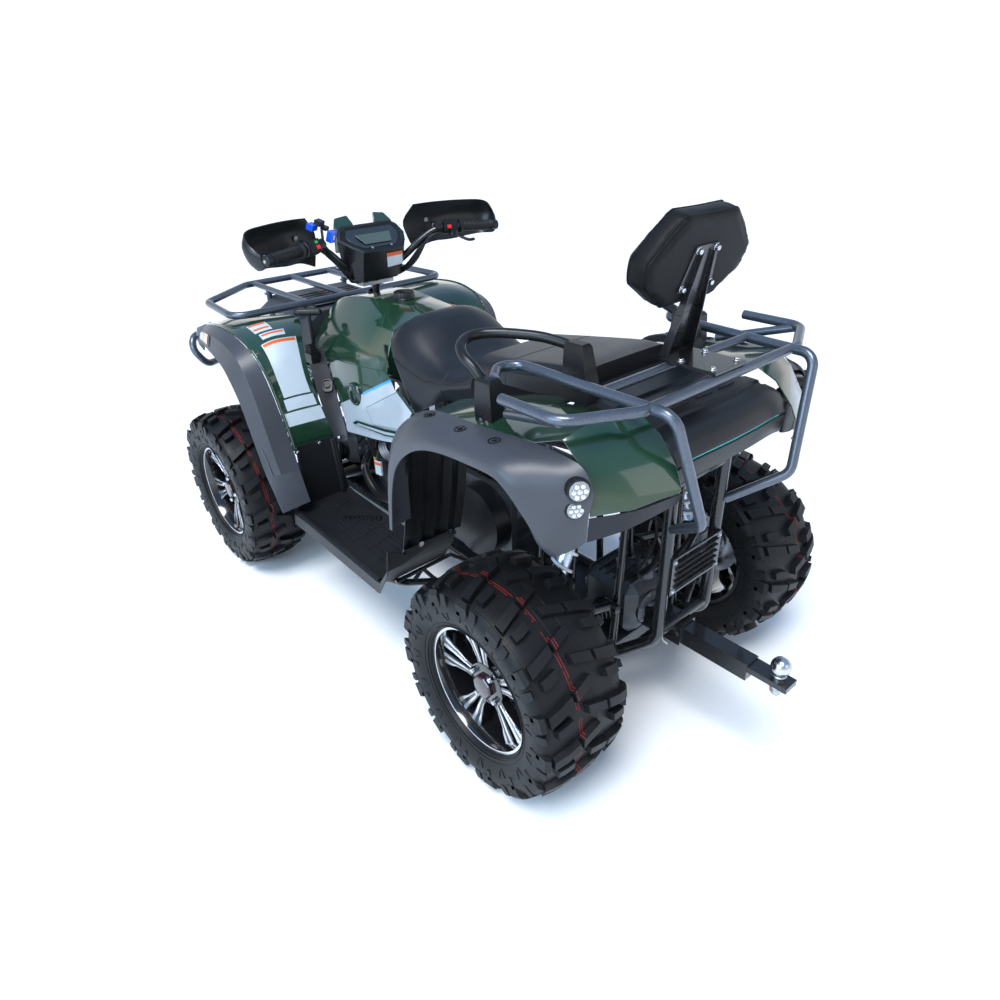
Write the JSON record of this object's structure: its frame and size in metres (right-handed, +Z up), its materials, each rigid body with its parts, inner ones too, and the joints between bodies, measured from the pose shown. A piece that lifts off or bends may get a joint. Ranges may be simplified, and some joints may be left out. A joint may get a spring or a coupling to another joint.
{
  "type": "utility quad bike",
  "caption": "Utility quad bike with steered front wheels, tube racks, two-part seat with backrest, handlebar, lugged tyres and a tow ball.",
  "frame": {"origin": "on the ground, below the middle of the whole length and width", "axes": "+X forward along the machine, +Y to the rider's left, +Z up"},
  "size_m": [2.505, 1.236, 1.408],
  "materials": {
    "black_steel": "satin",
    "grey_steel": "satin metallic",
    "cast_alloy": "cast",
    "spring_white": "gloss",
    "engine_metal": "cast",
    "black_cover": "moulded",
    "muffler_steel": "satin",
    "black_plastic": "fine grain",
    "green_plastic": "gloss",
    "side_plastic": "gloss",
    "seat_vinyl": "grained vinyl",
    "pad_vinyl": "grained vinyl",
    "handle_plastic": "satin",
    "pod_plastic": "satin",
    "bright_steel": "polished",
    "lamp_lens": "clear",
    "grip_rubber": "ribbed",
    "tyre_rubber": "moulded",
    "rim_alloy": "machined and black"
  },
  "bodies": {
    "chassis": {"backrest_pad": "pad_vinyl", "backrest_post": "black_steel", "belt_cover": "black_cover", "drawbar": "black_steel", "driveline": "cast_alloy", "engine": "engine_metal", "footwells": "black_plastic", "frame": "black_steel", "front_bumper": "grey_steel", "front_fenders": "green_plastic", "front_flares": "black_plastic", "front_rack": "grey_steel", "fuel_cap": "handle_plastic", "gear_lever": "handle_plastic", "grab_handles": "handle_plastic", "headlamps": "lamp_lens", "heel_panels": "black_plastic", "inner_fairings": "black_plastic", "muffler": "muffler_steel", "nose": "black_plastic", "passenger_seat": "seat_vinyl", "rear_fenders": "green_plastic", "rear_flares": "black_plastic", "rear_grille": "black_steel", "rear_hubs": "cast_alloy", "rear_rack": "grey_steel", "rear_valances": "black_plastic", "receiver": "black_steel", "rider_seat": "seat_vinyl", "shock_absorbers": "spring_white", "side_panels": "side_plastic", "skid_plate": "black_plastic", "suspension_arms": "black_steel", "tail_lamps": "lamp_lens", "tail_tray": "black_plastic", "tank_cover": "green_plastic", "tow_ball": "bright_steel"},
    "steering": {"hand_controls": "grip_rubber", "hand_guards": "handle_plastic", "handlebar": "black_steel", "instrument_pod": "pod_plastic", "steering_column": "black_steel"},
    "left_front_wheel": {"left_front_rim": "rim_alloy", "left_front_tyre": "tyre_rubber"},
    "left_knuckle_body": {"left_knuckle": "cast_alloy"},
    "left_rear_wheel": {"left_rear_rim": "rim_alloy", "left_rear_tyre": "tyre_rubber"},
    "left_tie_rod_body": {"left_tie_rod": "bright_steel"},
    "right_front_wheel": {"right_front_rim": "rim_alloy", "right_front_tyre": "tyre_rubber"},
    "right_knuckle_body": {"right_knuckle": "cast_alloy"},
    "right_rear_wheel": {"right_rear_rim": "rim_alloy", "right_rear_tyre": "tyre_rubber"},
    "right_tie_rod_body": {"right_tie_rod": "bright_steel"}
  },
  "joints": [
    {"name": "steering_turn", "type": "hinge", "parent": "chassis", "child": "steering", "pos_m": [0.6225, 0, 0.236], "axis": [-0.1902, 0, 0.9817], "range_deg": [-40, 40]},
    {"name": "left_knuckle_turn", "type": "hinge", "parent": "chassis", "child": "left_knuckle_body", "pos_m": [0.7625, 0.4305, 0.306], "axis": [0, 0, 1], "range_deg": [-32, 32]},
    {"name": "left_tie_rod_turn", "type": "hinge", "parent": "left_knuckle_body", "child": "left_tie_rod_body", "pos_m": [0.6725, 0.4195, 0.286], "axis": [0, 0, 1], "range_deg": [-32, 32]},
    {"name": "right_knuckle_turn", "type": "hinge", "parent": "chassis", "child": "right_knuckle_body", "pos_m": [0.7625, -0.4305, 0.306], "axis": [0, 0, 1], "range_deg": [-32, 32]},
    {"name": "right_tie_rod_turn", "type": "hinge", "parent": "right_knuckle_body", "child": "right_tie_rod_body", "pos_m": [0.6725, -0.4195, 0.286], "axis": [0, 0, 1], "range_deg": [-32, 32]},
    {"name": "left_front_roll", "type": "hinge", "parent": "left_knuckle_body", "child": "left_front_wheel", "pos_m": [0.7625, 0.5055, 0.306], "axis": [0, 1, 0], "continuous": true},
    {"name": "right_front_roll", "type": "hinge", "parent": "right_knuckle_body", "child": "right_front_wheel", "pos_m": [0.7625, -0.5055, 0.306], "axis": [0, 1, 0], "continuous": true},
    {"name": "left_rear_roll", "type": "hinge", "parent": "chassis", "child": "left_rear_wheel", "pos_m": [-0.7175, 0.4515, 0.306], "axis": [0, 1, 0], "continuous": true},
    {"name": "right_rear_roll", "type": "hinge", "parent": "chassis", "child": "right_rear_wheel", "pos_m": [-0.7175, -0.4515, 0.306], "axis": [0, 1, 0], "continuous": true}
  ],
  "couplings": [
    {"joint": "left_knuckle_turn", "follows": "steering_turn", "ratio": 0.8},
    {"joint": "left_tie_rod_turn", "follows": "steering_turn", "ratio": -0.8},
    {"joint": "right_knuckle_turn", "follows": "steering_turn", "ratio": 0.8},
    {"joint": "right_tie_rod_turn", "follows": "steering_turn", "ratio": -0.8}
  ]
}
